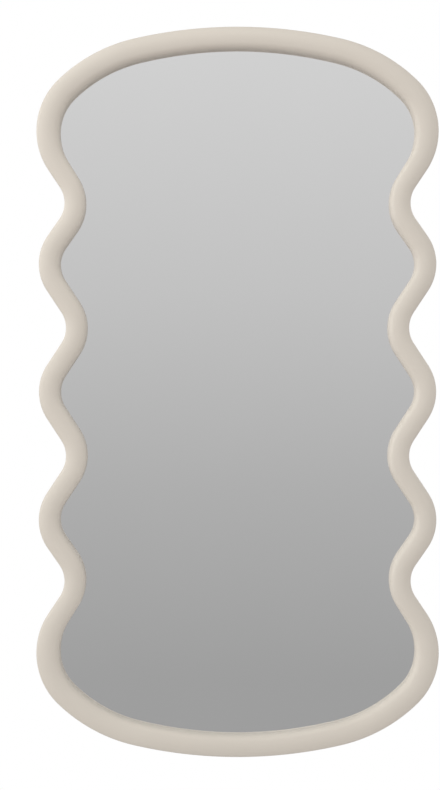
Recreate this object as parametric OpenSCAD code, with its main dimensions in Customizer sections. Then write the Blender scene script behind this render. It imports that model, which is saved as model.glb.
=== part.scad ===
// Wall mirror with a wavy frame.
// X runs across the mirror, Z up, and the front faces -Y. The wall is the plane y = 0, and the origin lies
// on it behind the middle of the mirror. Heights called h are distances from the wall towards the viewer,
// and distances called u run inwards from the frame's outer edge, square to it.

/* [Outline of the frame] */
// Height over everything, from foot to crown
mirror_h = 1000; // [900:1:1120]
// Width across the shoulders, the widest place
shoulder_w = 551; // [490:1:620]
// Width across the crests at mid height
mid_crest_w = 544; // [485:1:610]
// Width across the other crests
crest_w = 544.5; // [485:0.5:610]
// Width across the troughs next to mid height
inner_trough_w = 470; // [415:1:525]
// Width across the troughs next to the shoulders
outer_trough_w = 474; // [415:1:525]
// Distance from the crown down to the shoulders
shoulder_drop = 142.5; // [125:0.5:160]
// Distance from the shoulders down to the outer troughs
outer_trough_drop = 98.5; // [86:0.5:111]
// Distance from the outer troughs down to the outer crests
crest_drop = 83.5; // [73:0.5:94]
// Radius round each crest, less where the wave has no room for it
crest_r = 67; // [55:1:80]
// Radius in each trough, less where the wave has no room for it
trough_r = 38; // [25:1:45]
// Radius round each shoulder, less where the wave has no room for it
shoulder_r = 97; // [85:1:110]
// Radius of the haunch between shoulder and crown
haunch_r = 221; // [190:1:250]
// Radius of the long arc over the crown, more where the shoulders would reach through it
crown_r = 632; // [550:1:720]

/* [Section of the frame] */
// Width of the frame seen from the front, along the wave
band_w = 28; // [26:0.5:31]
// Width of the frame round the shoulders
shoulder_band_w = 31; // [28:0.5:34]
// Width of the frame at the crown
crown_band_w = 29; // [27:0.5:32]
// Depth of the frame from its back to its crest
frame_depth = 30; // [27:0.5:34]
// Depth of the glass behind the frame's crest
glass_depth = 18; // [16:0.5:20.5]
// Radius of the rounded outer edge
outer_round = 5; // [3:0.5:7]
// Radius of the rounded inner edge
inner_round = 9; // [6.5:0.5:10.5]
// Radius of the domed front
dome_r = 24; // [20:1:36]
// Distance of the dome's highest line from the outer edge
dome_u = 14; // [12:0.5:16]
// Width of the broken edge round the back
back_chamfer = 1; // [0.5:0.5:2]
// Width of the rim left round the backing board
rim_w = 8; // [6.5:0.5:9]
// Width of the ledge that the backing board lies on
ledge_w = 12; // [11:0.5:13]

/* [Mirror pane] */
// Thickness of the glass
pane_t = 4; // [3:0.5:5]
// Gap between the glass and the frame round its edge
pane_gap = 1.5; // [1.2:0.1:2.5]
// Thickness of the safety film on the back of the glass
film_t = 0.3; // [0.2:0.1:0.5]
// Length of the blocks that the glass stands on and is centred by
packer_l = 26; // [16:1:34]
// Clearance on each side of a block
packer_clear = 0.25; // [0.2:0.05:0.4]
// Distance of each lower block from the middle
packer_x = 120; // [90:1:135]

/* [Backing board] */
// Thickness of the board, which lies flush with the frame's back
board_t = 3; // [2.5:0.5:4]
// Gap between the board and the rim round it
board_gap = 0.5; // [0.3:0.1:1]
// Length of each foam pad along the edge
pad_l = 30; // [20:1:36]
// Width of each foam pad
pad_w = 9; // [6:0.5:11]
// Distance of the foam pads from the edge of the glass
pad_inset = 1; // [0.5:0.5:4]
// Angle of the shoulder's fixings above the level, in degrees
shoulder_fixing_a = 40; // [34:1:46]
// Angle of the haunch's fixings above the level, in degrees
haunch_fixing_a = 70; // [64:1:75]
// Distance of the crown's fixings from the middle
crown_fixing_x = 65; // [45:1:95]

/* [Screws] */
// Diameter of the screws that hold the board
board_screw_d = 3; // [2.5:0.5:3.5]
// Length of those screws under the head
board_screw_l = 14; // [12:1:18]
// Diameter of the screws that hold the hangers
hanger_screw_d = 3.5; // [3:0.5:4]
// Length of those screws under the head
hanger_screw_l = 16; // [14:1:20]
// Head diameter as a multiple of the screw's diameter
head_ratio = 2; // [1.8:0.1:2.1]
// Head height as a multiple of the screw's diameter
head_rise = 0.6; // [0.5:0.05:0.7]
// Width of the cross cut into each head
cross_w = 0.8; // [0.6:0.1:1]
// Length of the cross
cross_l = 3.4; // [2.8:0.1:3.8]
// Depth of the cross
cross_deep = 1; // [0.6:0.1:1.2]
// Clearance round a screw in board and strap
screw_clear = 0.2; // [0.1:0.05:0.4]
// Depth of the thread's bite into the frame
thread_bite = 0.3; // [0.2:0.05:0.4]

/* [Hangers] */
// Thickness of the steel strip
strip_t = 1; // [0.8:0.1:1.2]
// Width of each strap
strap_w = 13; // [11:0.5:13.5]
// Distance of each strap's middle line from the outer edge, level with the shoulder's widest place
hanger_u = 16; // [15:0.5:17]
// Height of the ring's axis above the shoulder's widest place
ring_rise = 17; // [15:0.5:19]
// Gap between the hanging ring and the head of the first screw
head_gap = 1.2; // [0.8:0.1:4]
// Distance from the first screw down to the second
screw_pitch = 11; // [9.5:0.5:13]
// Length of the strap below the second screw
strap_end = 7; // [5.5:0.5:9]
// Length of the slope where the strip folds back on itself
fold_l = 6; // [5:0.5:7.5]
// Thickness of the ring's wire
wire_d = 2.8; // [2.4:0.1:2.9]
// Width of the opening in the ring
ring_in_w = 18; // [17.5:0.5:20]
// Length of the ring's straight legs, corner included
ring_leg = 8; // [6.5:0.5:8]
// Radius of the ring's two corners, on the wire's centre line
ring_corner = 3; // [2.5:0.5:3.5]
// Running clearance of the wire in its eye
eye_clear = 0.05; // [0.03:0.01:0.1]
// Gap between the hanging ring and its strap
ring_gap = 0.3; // [0.2:0.1:0.6]

/* [Bumpers] */
// Height of the bumpers, which sets how far the back stands off the wall
bumper_h = 6; // [5.5:0.5:8]
// Diameter of each bumper on the board
bumper_d = 18; // [14:1:22]
// Diameter of the flat that rests on the wall
bumper_flat_d = 13; // [9:1:13]
// Distance of the bumpers from the outer edge
bumper_u = 34; // [30:1:44]
// Angle of the bumpers above the level, seen from the haunch's centre, in degrees
bumper_a = 60; // [52:1:72]

/* [Smoothness] */
// Largest distance between an arc of the outline and its chords
sagitta = 0.15; // [0.12:0.01:0.3]

/* [Hidden] */
$fn = 48;
// How far a cutting shape runs past the face that it cuts
past = 1;
// Two places nearer than this are one
same_place = 0.01;
// Part of the room between a crest and a trough that their arcs may fill, the rest being straight
wave_room = 0.98;
// How much larger the crown's radius is than the least one that clears the shoulders
crown_room = 1.02;
// Chords in the section's outer edge, dome and inner edge, and in a block or a screw's head
outer_chords = 3;
dome_chords = 4;
inner_chords = 4;
small_chords = 4;

// Finishes as the photograph shows them, and plain trade finishes where it doesn't
cream_lacquer = [0.84, 0.80, 0.75];
silvered_glass = [0.74, 0.75, 0.75];
grey_film = [0.55, 0.57, 0.58];
hardboard = [0.56, 0.42, 0.29];
white_foam = [0.90, 0.90, 0.88];
black_rubber = [0.12, 0.12, 0.12];
zinc_steel = [0.72, 0.73, 0.74];

// Depths from the wall, along the mirror's section
back_h = bumper_h;
ledge_h = back_h + board_t;
front_h = back_h + frame_depth;
glass_h = front_h - glass_depth;
film_h = glass_h - pane_t;
pad_h = film_h - film_t;
pad_t = pad_h - ledge_h;

// Heights above the middle
shoulder_z = mirror_h / 2 - shoulder_drop;
outer_trough_z = shoulder_z - outer_trough_drop;
crest_z = outer_trough_z - crest_drop;
inner_trough_z = crest_z / 2;

// Distances inwards from the outer edge
pane_rebate_u = rim_w + ledge_w;
pane_u = pane_rebate_u + pane_gap;
board_u = rim_w + board_gap;
screw_u = rim_w + ledge_w / 2;

// The outline is a chain of arcs in one quarter, repeated by symmetry.
// Each arc is [centre x, centre z, radius], and the radius of a hollow arc is negative.
// Headings are the directions of travel round the outline, anticlockwise seen from the front.
// The wave's turning places, from mid height up, are [half width, height, radius].
turns = [
    [mid_crest_w / 2, 0, crest_r],
    [inner_trough_w / 2, inner_trough_z, -trough_r],
    [crest_w / 2, crest_z, crest_r],
    [outer_trough_w / 2, outer_trough_z, -trough_r],
    [shoulder_w / 2, shoulder_z, shoulder_r]
];
top_turn = len(turns) - 1;
wave = [
    for (i = [0 : top_turn])
        let (
            below = i > 0 ? fitting_share(turns[i - 1], turns[i]) : 1,
            above = i < top_turn ? fitting_share(turns[i], turns[i + 1]) : 1,
            r = turns[i][2] * min(1, below, above)
        )
        [turns[i][0] - r, turns[i][1], r]
];
shoulder_arc = wave[top_turn];
crown_fit_r = max(crown_r, crown_room * least_crown_r(shoulder_arc));
crown_arc = [0, mirror_h / 2 - crown_fit_r, crown_fit_r];
haunch_arc = inner_tangent_arc(shoulder_arc, crown_arc, haunch_r);
shoulder_end = 90 + bearing(haunch_arc, shoulder_arc);
haunch_end = 90 + bearing(crown_arc, haunch_arc);

// The share of their radii with which two turning places leave a short straight between them
function fitting_share(a, b) =
    let (across = abs(a[0] - b[0]), up = b[1] - a[1])
    wave_room * (across * across + up * up) / (2 * across) / (abs(a[2]) + abs(b[2]));

// The radius of a crown that just touches a shoulder's arc from outside
function least_crown_r(arc) =
    let (drop = mirror_h / 2 - arc[1])
    (arc[0] * arc[0] + drop * drop - arc[2] * arc[2]) / (2 * (drop - arc[2]));

function centre(arc) = [arc[0], arc[1]];
function bearing(from, to) = atan2(to[1] - from[1], to[0] - from[0]);

// Heading of the straight that touches two arcs in turn
function tangent_heading(a, b) =
    bearing(a, b) + asin((a[2] - b[2]) / norm(centre(b) - centre(a)));

// The arc of radius r that runs smoothly out of arc a and into the larger arc b, both lying on its inside
function inner_tangent_arc(a, b, r) =
    let (
        span = norm(centre(b) - centre(a)),
        along = (centre(b) - centre(a)) / span,
        across = [-along[1], along[0]],
        from_a = r - a[2],
        from_b = b[2] - r,
        run = (from_a * from_a - from_b * from_b + span * span) / (2 * span),
        side = sqrt(from_a * from_a - run * run),
        c = centre(a) + along * run - across * side
    )
    [c[0], c[1], r];

// A station is [centre x, centre z, radius, heading], and stands for one place round the outline.
function station(arc, heading) = [arc[0], arc[1], arc[2], heading];
function flip_x(s) = [-s[0], s[1], s[2], -s[3]];
function flip_z(s) = [s[0], -s[1], s[2], 180 - s[3]];
function turn_half(s) = [-s[0], -s[1], s[2], s[3] + 180];
function edge_point(s, u) = [s[0], s[1]] + (s[2] - u) * [sin(s[3]), -cos(s[3])];

// Chords needed for an arc, so that none lies further from it than the sagitta
function chords(r, turn) = max(1, ceil(abs(turn) / (2 * acos(1 - sagitta / abs(r)))));

// Stretches of the outline from mid height to the crown, as [arc, first heading, last heading].
// Each arc of the wave is parted at its turning place, so that the outline is as wide there as its size says.
meets = [for (i = [0 : top_turn - 1]) tangent_heading(wave[i], wave[i + 1])];
stretches = concat(
    [[wave[0], 90, meets[0]]],
    [
        for (i = [1 : top_turn - 1])
            for (part = [[meets[i - 1], 90], [90, meets[i]]])
                [wave[i], part[0], part[1]]
    ],
    [
        [shoulder_arc, meets[top_turn - 1], 90],
        [shoulder_arc, 90, shoulder_end],
        [haunch_arc, shoulder_end, haunch_end],
        [crown_arc, haunch_end, 180]
    ]
);

// Where a stretch starts in the place that the one before it ended, that place is kept once.
walked = [
    for (s = stretches)
        let (turn = s[2] - s[1], n = chords(s[0][2], turn))
        for (k = [0 : n]) station(s[0], s[1] + turn * k / n)
];
quarter = [
    for (i = [0 : len(walked) - 1])
        if (i == 0 || norm(edge_point(walked[i], 0) - edge_point(walked[i - 1], 0)) > same_place) walked[i]
];
last = len(quarter) - 1;
outline = concat(
    [for (i = [0 : last - 1]) quarter[i]],
    [for (i = [last : -1 : 1]) flip_x(quarter[i])],
    [for (i = [0 : last - 1]) turn_half(quarter[i])],
    [for (i = [last : -1 : 1]) flip_z(quarter[i])]
);

// Past the shoulders the heading alone tells the arc.
function at_heading(h) =
    station(h < shoulder_end ? shoulder_arc : h < haunch_end ? haunch_arc : crown_arc, h);

// Heading at distance x from the middle, measured u inside the outer edge of crown or haunch
function heading_at_x(x, u) =
    let (h = 180 - asin(x / (crown_arc[2] - u)))
    h > haunch_end ? h : 180 - asin((x - haunch_arc[0]) / (haunch_arc[2] - u));

// Places of the board's screws: the crests, the outer troughs, and along shoulder, haunch and crown
quarter_fixings = [
    station(wave[2], 90),
    station(wave[3], 90),
    at_heading(90 + shoulder_fixing_a),
    at_heading(90 + haunch_fixing_a),
    at_heading(heading_at_x(crown_fixing_x, screw_u))
];
fixings = concat(
    [station(wave[0], 90), flip_x(station(wave[0], 90))],
    quarter_fixings,
    [for (s = quarter_fixings) flip_x(s)],
    [for (s = quarter_fixings) flip_z(s)],
    [for (s = quarter_fixings) turn_half(s)]
);

// Front of the frame as [u, h] points, drawn for the width along the wave: outer edge, dome, inner edge and lip
dome_centre = [dome_u, front_h - dome_r];
outer_centre = [outer_round, dome_centre[1] + leg(dome_r - outer_round, dome_u - outer_round)];
inner_centre = [
    band_w - inner_round,
    dome_centre[1] + leg(dome_r - inner_round, band_w - inner_round - dome_u)
];
outer_end = atan2(outer_centre[1] - dome_centre[1], outer_centre[0] - dome_centre[0]);
inner_start = atan2(inner_centre[1] - dome_centre[1], inner_centre[0] - dome_centre[0]);

function leg(long, short) = sqrt(long * long - short * short);
function arc_points(c, r, from, to, n) = [
    for (k = [0 : n])
        let (a = from + (to - from) * k / n)
        [c[0] + r * cos(a), c[1] + r * sin(a)]
];
function inner_part(points) = [for (i = [1 : len(points) - 2]) points[i]];

front = concat(
    arc_points(outer_centre, outer_round, 180, outer_end, outer_chords),
    inner_part(arc_points(dome_centre, dome_r, outer_end, inner_start, dome_chords)),
    arc_points(inner_centre, inner_round, inner_start, 0, inner_chords),
    [[band_w, glass_h]]
);

// Section of the frame as [u, share, h] points, each lying at u plus that share of the frame's width there.
// The front widens with the frame, while the back and its two rebates keep their sizes.
section = concat(
    [[back_chamfer, 0, back_h], [0, 0, back_h + back_chamfer]],
    [for (q = front) [0, q[0] / band_w, q[1]]],
    [
        [pane_rebate_u, 0, glass_h],
        [pane_rebate_u, 0, ledge_h],
        [rim_w, 0, ledge_h],
        [rim_w, 0, back_h]
    ]
);

// Width of the frame at a station: it grows from the outer trough to the shoulder, and changes from there
// over the haunch to the crown
function band_at(s) =
    let (
        p = edge_point(s, 0),
        up = smooth_share((abs(p[1]) - outer_trough_z) / outer_trough_drop),
        over = smooth_share(1 - abs(p[0]) / (shoulder_w / 2))
    )
    band_w + up * (shoulder_band_w - band_w + over * (crown_band_w - shoulder_band_w));

// A share from 0 to 1 that starts and ends gently
function smooth_share(t) =
    let (c = min(1, max(0, t)))
    c * c * (3 - 2 * c);

// Carries a closed section round the outline, as rings of points joined by four-cornered faces
module carried_round(path, profile) {
    rings = len(path);
    m = len(profile);
    polyhedron(
        points = [
            for (s = path)
                for (q = profile)
                    let (p = edge_point(s, q[0] + q[1] * band_at(s)))
                    [p[0], -q[2], p[1]]
        ],
        faces = [
            for (i = [0 : rings - 1])
                for (j = [0 : m - 1])
                    let (i2 = (i + 1) % rings, j2 = (j + 1) % m)
                    [i * m + j, i * m + j2, i2 * m + j2, i2 * m + j]
        ],
        convexity = 8
    );
}

// The mirror's outline drawn in by u
function drawn_in(u) = [for (s = outline) edge_point(s, u)];

// A sheet with the outline drawn in by u, from depth h and t thick
module wavy_sheet(u, h, t) {
    translate([0, -h, 0]) rotate([90, 0, 0]) linear_extrude(t) polygon(drawn_in(u));
}

// Stands children at a station: their z points to the front, and their x along the outline
module at_edge(s, u, h) {
    p = edge_point(s, u);
    translate([p[0], -h, p[1]]) rotate([90, 0, 0]) rotate([0, 0, s[3]]) children();
}

// A pan-head screw with its head's underside at z = 0 and its point up
module pan_screw(d, l) {
    head_r = d * head_ratio / 2;
    head_h = d * head_rise;
    head_round = head_h * 0.8;
    difference() {
        rotate_extrude() polygon(concat(
            [[0, -head_h]],
            arc_points([head_r - head_round, head_round - head_h], head_round, -90, 0, small_chords),
            [[head_r, 0], [d / 2, 0], [d / 2, l - d], [0, l]]
        ));
        for (turn = [0, 90])
            rotate([0, 0, turn]) translate([-cross_l / 2, -cross_w / 2, -head_h - past])
                cube([cross_l, cross_w, cross_deep + past]);
    }
}

// The hole that a screw cuts or passes through, from z = 0 up
module screw_hole(r, l) {
    translate([0, 0, -past]) cylinder(r = r, h = l + past);
}

// Hanger geometry, from a point on the board's back level with the ring's axis:
// x across, y out from the board towards the wall, z up
wire_r = wire_d / 2;
eye_r = wire_r + eye_clear;
eye_b = eye_r + strip_t;
hanger_x = shoulder_w / 2 - hanger_u;
hanger_z = shoulder_z + ring_rise;
ring_half_w = ring_in_w / 2 + wire_r;
ring_reach = ring_leg + ring_half_w;
first_screw = ring_reach + wire_r + head_gap + hanger_screw_d * head_ratio / 2;
strap_l = first_screw + screw_pitch + strap_end;
ring_tilt = asin((2 * strip_t + wire_r + ring_gap - eye_b) / ring_reach);

module at_hanger(side) {
    translate([side * hanger_x, -back_h, hanger_z]) children();
}

module at_hanger_screws(h) {
    for (drop = [first_screw, first_screw + screw_pitch])
        translate([0, back_h - h, -drop]) rotate([90, 0, 0]) children();
}

// Side view of the folded strap: the strip runs up, round the wire and back down on itself
module strap_side() {
    difference() {
        union() {
            translate([0, eye_b]) circle(r = eye_r + strip_t);
            translate([-strap_l, 0]) square([strap_l, strip_t]);
            translate([-strap_l, strip_t]) square([strap_l - fold_l, strip_t]);
            polygon([
                [0, eye_b + eye_r + strip_t / 2],
                [-fold_l, 2 * strip_t],
                [-fold_l - strip_t, strip_t],
                [-fold_l + strip_t, strip_t],
                [-strip_t / 2, eye_b]
            ]);
        }
        translate([0, eye_b]) circle(r = eye_r);
    }
}

// Front view of the strap: a strip with a round lower end
module strap_face() {
    translate([-strap_w / 2, -strap_l + strap_w / 2]) square([strap_w, strap_l]);
    translate([0, -strap_l + strap_w / 2]) circle(r = strap_w / 2);
}

module hanger_strap(side) {
    color(zinc_steel) at_hanger(side) difference() {
        intersection() {
            rotate([0, -90, 0]) translate([0, 0, -strap_w / 2]) linear_extrude(strap_w) strap_side();
            translate([0, 2 * eye_b, 0]) rotate([90, 0, 0]) linear_extrude(2 * eye_b) strap_face();
        }
        at_hanger_screws(back_h - 2 * strip_t) screw_hole(hanger_screw_d / 2 + screw_clear, 3 * strip_t);
    }
}

// One corner of the ring, a quarter turn of wire
module ring_corner_piece() {
    rotate_extrude(angle = 90) translate([ring_corner, 0]) circle(r = wire_r);
}

// The ring lying in its own plane, with its straight bar on the x axis and its bow at +y
module ring_flat() {
    bar = ring_half_w - ring_corner;
    translate([-bar, 0, 0]) rotate([0, 90, 0]) cylinder(r = wire_r, h = 2 * bar);
    for (side = [0, 1]) mirror([side, 0, 0]) {
        translate([bar, ring_corner, 0]) rotate([0, 0, -90]) ring_corner_piece();
        translate([ring_half_w, ring_corner, 0]) rotate([-90, 0, 0])
            cylinder(r = wire_r, h = ring_leg - ring_corner);
    }
    translate([0, ring_leg, 0]) rotate_extrude(angle = 180) translate([ring_half_w, 0])
        circle(r = wire_r);
}

module hanger_ring(side) {
    color(zinc_steel) at_hanger(side) translate([0, eye_b, 0])
        rotate([ring_tilt - 90, 0, 0]) ring_flat();
}

module hanger_screws(side) {
    color(zinc_steel) at_hanger(side) at_hanger_screws(back_h - 2 * strip_t)
        pan_screw(hanger_screw_d, hanger_screw_l);
}

module frame() {
    color(cream_lacquer) difference() {
        carried_round(outline, section);
        for (s = fixings)
            at_edge(s, screw_u, back_h) screw_hole(board_screw_d / 2 - thread_bite, board_screw_l);
        for (side = [-1, 1]) at_hanger(side) at_hanger_screws(back_h)
            screw_hole(hanger_screw_d / 2 - thread_bite, hanger_screw_l - 2 * strip_t);
    }
}

module mirror_pane() {
    color(silvered_glass) wavy_sheet(pane_u, film_h, pane_t);
}

module safety_film() {
    color(grey_film) wavy_sheet(pane_u, pad_h, film_t);
}

module backing_board() {
    color(hardboard) difference() {
        wavy_sheet(board_u, back_h, board_t);
        for (s = fixings)
            at_edge(s, screw_u, back_h) screw_hole(board_screw_d / 2 + screw_clear, board_t + past);
        for (side = [-1, 1]) at_hanger(side) at_hanger_screws(back_h)
            screw_hole(hanger_screw_d / 2 + screw_clear, board_t + past);
    }
}

module board_screws() {
    color(zinc_steel) for (s = fixings)
        at_edge(s, screw_u, back_h) pan_screw(board_screw_d, board_screw_l);
}

// Distance of a pad's long side from the outer edge, so that on a crest its corners keep the inset as well
function pad_u(r) =
    let (inset_u = pane_u + pad_inset)
    r > 0 ? r - leg(r - inset_u, pad_l / 2) : inset_u;

module cushion_pads() {
    color(white_foam) for (s = fixings)
        at_edge(s, pad_u(s[2]) + pad_w / 2, ledge_h)
            translate([-pad_l / 2, -pad_w / 2, 0]) cube([pad_l, pad_w, pad_t]);
}

// A block between the edge of the glass and the frame, cut from a strip that follows them both
module packer(middle, cut) {
    color(black_rubber) translate([0, -film_h, 0]) rotate([90, 0, 0]) linear_extrude(pane_t)
        intersection() {
            difference() {
                polygon(drawn_in(pane_rebate_u + packer_clear));
                polygon(drawn_in(pane_u - packer_clear));
            }
            translate(middle) square(cut, center = true);
        }
}

module bottom_packer(side) {
    packer([side * packer_x, -mirror_h / 2], [packer_l, 2 * shoulder_drop]);
}

module side_packer(side) {
    packer([side * mid_crest_w / 2, 0], [2 * band_w, packer_l]);
}

// A round rubber foot, glued to the board and resting on the wall
module bumper(s) {
    flat_r = bumper_flat_d / 2;
    swell = bumper_d / 2 - flat_r;
    color(black_rubber) at_edge(s, bumper_u, 0) rotate_extrude() polygon(concat(
        [[0, 0]],
        [
            for (k = [0 : small_chords])
                let (a = 90 * k / small_chords)
                [flat_r + swell * sin(a), bumper_h * (1 - cos(a))]
        ],
        [[0, bumper_h]]
    ));
}

bumper_place = at_heading(90 + bumper_a);

frame();
mirror_pane();
safety_film();
backing_board();
board_screws();
cushion_pads();
bottom_packer(-1);  // packer_bottom_left
bottom_packer(1);  // packer_bottom_right
side_packer(-1);  // packer_side_left
side_packer(1);  // packer_side_right
hanger_strap(-1);  // left_hanger_strap
hanger_strap(1);  // right_hanger_strap
hanger_ring(-1);  // left_hanger_ring
hanger_ring(1);  // right_hanger_ring
hanger_screws(-1);  // left_hanger_screws
hanger_screws(1);  // right_hanger_screws
bumper(flip_x(bumper_place));  // bumper_top_left
bumper(bumper_place);  // bumper_top_right
bumper(turn_half(bumper_place));  // bumper_bottom_left
bumper(flip_z(bumper_place));  // bumper_bottom_right
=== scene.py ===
"""Dresses a wavy-framed wall mirror: lacquered frame, silvered pane, backing, hangers, bumpers and studio.

Lengths are metres. X runs across the mirror, Z up, the front faces -Y and the wall is the plane y = 0.
A depth h is a distance from the wall, and u is a distance inwards from the frame's outer edge.
"""
import math

import bpy
import numpy as np
from bpy.props import FloatProperty, FloatVectorProperty, PointerProperty
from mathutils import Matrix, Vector


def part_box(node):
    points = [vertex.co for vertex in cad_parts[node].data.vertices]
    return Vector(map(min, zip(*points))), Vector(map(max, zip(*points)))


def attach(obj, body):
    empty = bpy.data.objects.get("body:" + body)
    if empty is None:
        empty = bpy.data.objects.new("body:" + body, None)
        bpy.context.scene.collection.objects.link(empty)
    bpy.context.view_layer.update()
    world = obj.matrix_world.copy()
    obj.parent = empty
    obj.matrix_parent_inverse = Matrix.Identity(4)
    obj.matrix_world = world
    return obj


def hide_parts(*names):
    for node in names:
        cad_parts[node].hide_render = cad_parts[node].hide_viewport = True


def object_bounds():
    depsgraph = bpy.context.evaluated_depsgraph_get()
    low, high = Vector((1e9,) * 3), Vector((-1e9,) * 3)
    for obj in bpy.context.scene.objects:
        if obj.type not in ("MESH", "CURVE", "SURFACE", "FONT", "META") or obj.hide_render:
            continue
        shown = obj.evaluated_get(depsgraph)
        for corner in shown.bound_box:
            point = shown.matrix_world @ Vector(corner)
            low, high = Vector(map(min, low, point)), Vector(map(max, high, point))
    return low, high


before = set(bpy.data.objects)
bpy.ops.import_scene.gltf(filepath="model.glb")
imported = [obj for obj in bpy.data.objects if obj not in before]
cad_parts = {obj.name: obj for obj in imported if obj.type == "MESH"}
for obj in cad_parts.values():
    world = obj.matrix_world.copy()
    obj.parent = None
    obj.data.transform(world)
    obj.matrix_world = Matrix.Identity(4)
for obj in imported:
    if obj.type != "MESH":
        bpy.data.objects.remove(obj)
CAD_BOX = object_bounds()

bl_info = {
    "name": "Wavy Wall Mirror",
    "version": (1, 0, 0),
    "blender": (4, 5, 0),
    "location": "View3D > Sidebar > Mirror",
    "description": "Builds the fine surfaces and the finishes of a wavy-framed wall mirror",
    "category": "Add Mesh",
}

FRAME_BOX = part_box("frame")
PANE_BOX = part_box("mirror_pane")
BOARD_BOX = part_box("backing_board")
PADS_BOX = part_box("cushion_pads")


def length(name, description, default):
    """A length in metres that a user may change."""
    return FloatProperty(
        name=name,
        description=description,
        default=default,
        min=0,
        precision=5,
        unit="LENGTH",
        subtype="DISTANCE",
    )


def colour(name, description, default):
    """A linear colour that a user may change."""
    return FloatVectorProperty(
        name=name, description=description, default=default, min=0, max=1, size=3, subtype="COLOR"
    )


def power(name, description, default):
    """A lamp's power in watts."""
    return FloatProperty(name=name, description=description, default=default, min=0, subtype="POWER")


class OutlineSizes(bpy.types.PropertyGroup):
    """Outline of the frame, as turning places of the wave and the arcs through them"""

    height: length("Height", "From foot to crown", FRAME_BOX[1][2] - FRAME_BOX[0][2])
    shoulder_w: length("Shoulder width", "Across the widest places", FRAME_BOX[1][0] - FRAME_BOX[0][0])
    mid_crest_w: length("Middle crest width", "Across the crests at mid height", 0.544)
    crest_w: length("Crest width", "Across the other crests", 0.5445)
    inner_trough_w: length("Inner trough width", "Across the troughs next to mid height", 0.470)
    outer_trough_w: length("Outer trough width", "Across the troughs next to the shoulders", 0.474)
    shoulder_drop: length("Shoulder drop", "From the crown down to the shoulders", 0.1425)
    outer_trough_drop: length("Trough drop", "From the shoulders down to the outer troughs", 0.0985)
    crest_drop: length("Crest drop", "From the outer troughs down to the outer crests", 0.0835)
    crest_r: length("Crest radius", "Radius round each crest", 0.067)
    trough_r: length("Trough radius", "Radius in each trough", 0.038)
    shoulder_r: length("Shoulder radius", "Radius round each shoulder", 0.097)
    haunch_r: length("Haunch radius", "Radius between shoulder and crown", 0.221)
    crown_r: length("Crown radius", "Radius of the long arc over the crown", 0.632)


class SectionSizes(bpy.types.PropertyGroup):
    """Section of the frame"""

    band_w: length("Band width", "Width of the frame seen from the front, along the wave", 0.028)
    shoulder_band_w: length("Shoulder band", "Width of the frame round the shoulders", 0.031)
    crown_band_w: length("Crown band", "Width of the frame at the crown", 0.029)
    outer_round: length("Outer edge", "Radius of the outer edge", 0.005)
    inner_round: length("Inner edge", "Radius of the inner edge", 0.009)
    dome_r: length("Dome radius", "Radius of the domed front", 0.024)
    dome_u: length("Dome place", "Distance of the dome's highest line from the outer edge", 0.014)
    back_round: length("Back edge", "Radius of the broken edge round the back", 0.001)
    rim_w: length("Rim width", "Width of the rim round the backing board", 0.008)
    ledge_w: length("Ledge width", "Width of the ledge that the board lies on", 0.012)
    lip_round: length("Lip edge", "Radius of the lip's edge over the glass", 0.0006)


class HardwareSizes(bpy.types.PropertyGroup):
    """Screws, hangers, pads and bumpers"""

    board_screw_d: length("Board screw", "Diameter of the screws in the board", 0.003)
    board_screw_l: length("Board screw length", "Length under the head", 0.014)
    hanger_screw_d: length("Hanger screw", "Diameter of the screws in the hangers", 0.0035)
    hanger_screw_l: length("Hanger screw length", "Length under the head", 0.016)
    cross_w: length("Cross width", "Width of the cross in each head", 0.0008)
    cross_l: length("Cross length", "Length of the cross in each head", 0.0034)
    cross_deep: length("Cross depth", "Depth of the cross in each head", 0.0010)
    strip_t: length("Strip thickness", "Thickness of the hangers' steel strip", 0.001)
    strap_w: length("Strap width", "Width of each strap", 0.013)
    hanger_u: length("Hanger place", "Distance of each strap from the outer edge", 0.016)
    ring_rise: length("Ring rise", "Height of the rings' axis above the shoulders", 0.017)
    screw_pitch: length("Screw pitch", "Distance between a strap's two screws", 0.011)
    strap_end: length("Strap end", "Length of strap below its lower screw", 0.007)
    head_gap: length("Head gap", "Gap between the hanging ring and the first screw's head", 0.0012)
    fold_l: length("Fold length", "Length of the slope where the strip folds back", 0.006)
    wire_d: length("Wire", "Thickness of the rings' wire", 0.0028)
    ring_in_w: length("Ring opening", "Width inside each ring", 0.018)
    ring_leg: length("Ring leg", "Length of the rings' straight legs", 0.008)
    ring_corner: length("Ring corner", "Radius of the rings' corners", 0.003)
    eye_clear: length("Eye clearance", "Running clearance of the wire in its eye", 0.00005)
    ring_gap: length("Ring gap", "Gap between hanging ring and strap", 0.0003)
    pad_l: length("Pad length", "Length of each foam pad", 0.030)
    pad_w: length("Pad width", "Width of each foam pad", 0.009)
    pad_inset: length("Pad inset", "Distance of the pads from the edge of the glass", 0.001)
    pad_round: length("Pad edge", "Radius of the pads' edges", 0.0008)
    bumper_d: length("Bumper", "Diameter of each bumper on the board", 0.018)
    bumper_flat_d: length("Bumper flat", "Diameter of the flat against the wall", 0.013)
    bumper_u: length("Bumper place", "Distance of the bumpers from the outer edge", 0.034)


class FinishColours(bpy.types.PropertyGroup):
    """Colours of the finishes"""

    lacquer: colour("Lacquer", "Cream lacquer on the frame", (0.734, 0.680, 0.597))
    silver: colour("Silver", "Silvering seen through the glass", (0.905, 0.905, 0.905))
    film: colour("Film", "Safety film behind the glass", (0.26, 0.28, 0.29))
    board: colour("Board", "Pressed backing board", (0.270, 0.150, 0.075))
    board_fleck: colour("Board fleck", "Dark fibres in the board", (0.120, 0.062, 0.030))
    foam: colour("Foam", "Closed-cell foam", (0.80, 0.80, 0.77))
    rubber: colour("Rubber", "Moulded rubber", (0.013, 0.013, 0.014))
    zinc: colour("Zinc", "Dull zinc plating", (0.56, 0.57, 0.59))
    floor: colour("Floor", "Pale studio floor", (0.80, 0.80, 0.80))


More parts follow.
